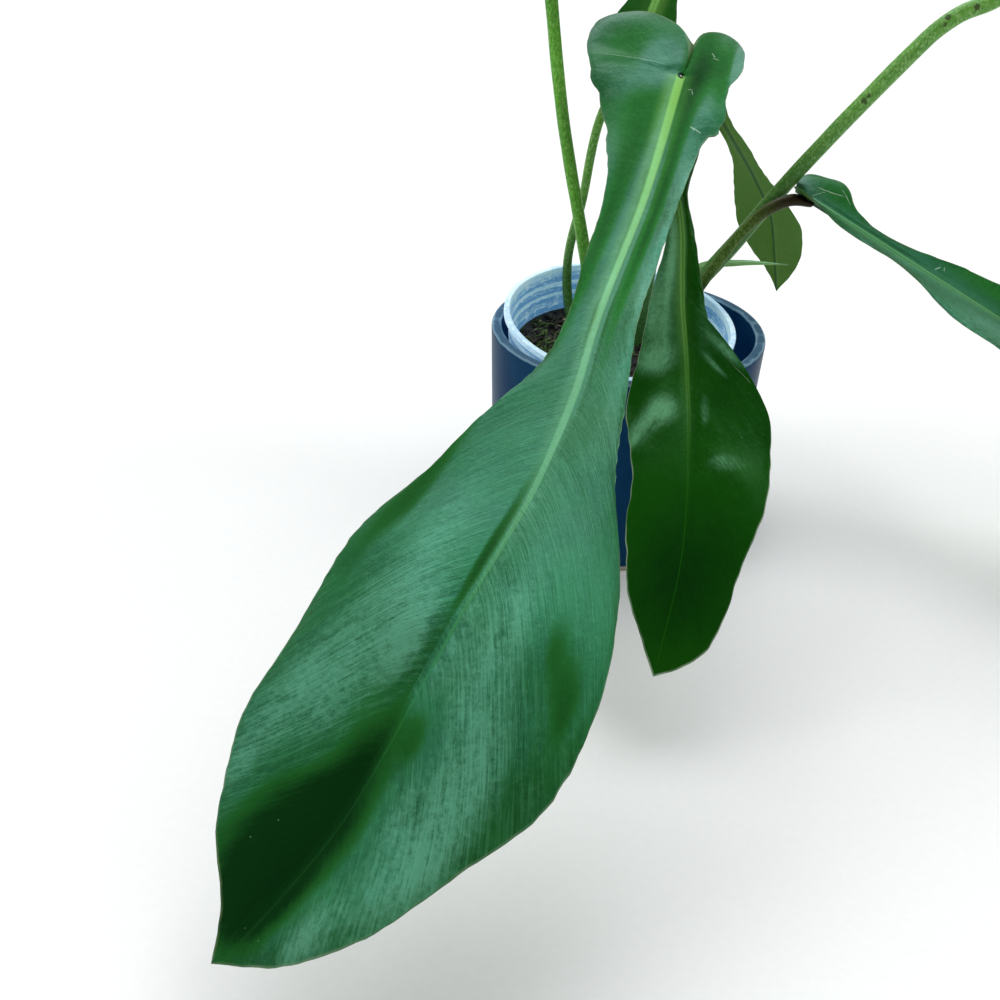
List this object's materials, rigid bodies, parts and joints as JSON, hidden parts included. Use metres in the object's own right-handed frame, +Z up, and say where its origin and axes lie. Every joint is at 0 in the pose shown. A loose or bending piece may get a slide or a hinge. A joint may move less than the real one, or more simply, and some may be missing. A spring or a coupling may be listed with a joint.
{
  "type": "potted philodendron joepii",
  "caption": "Houseplant with long fiddle-shaped leaves on upright petioles, rooted in a clear nursery pot that leans inside a round navy glazed pot.",
  "frame": {"origin": "centre of the cachepot's flat underside", "axes": "+Z up; the two large front leaves hang toward -Y, the long petiole leans toward +X"},
  "size_m": [0.7856, 0.4934, 0.4153],
  "materials": {
    "glaze": "gloss",
    "clear_plastic": "satin",
    "potting_mix": "matte",
    "stem_bark": "matte",
    "sheath": "satin",
    "leaf": "gloss",
    "petiole": "satin"
  },
  "bodies": {
    "root": {"cachepot": "glaze", "nursery_pot": "clear_plastic", "soil": "potting_mix", "stem": "stem_bark", "cataphyll": "sheath", "leaf_a_blade": "leaf", "leaf_a_petiole": "petiole", "leaf_b_blade": "leaf", "leaf_b_petiole": "petiole", "leaf_c_blade": "leaf", "leaf_c_petiole": "petiole", "leaf_d_blade": "leaf", "leaf_d_petiole": "petiole", "leaf_e_blade": "leaf", "leaf_e_petiole": "petiole", "leaf_f_blade": "leaf", "leaf_f_petiole": "petiole", "leaf_g_blade": "leaf", "leaf_g_petiole": "petiole"}
  },
  "joints": []
}
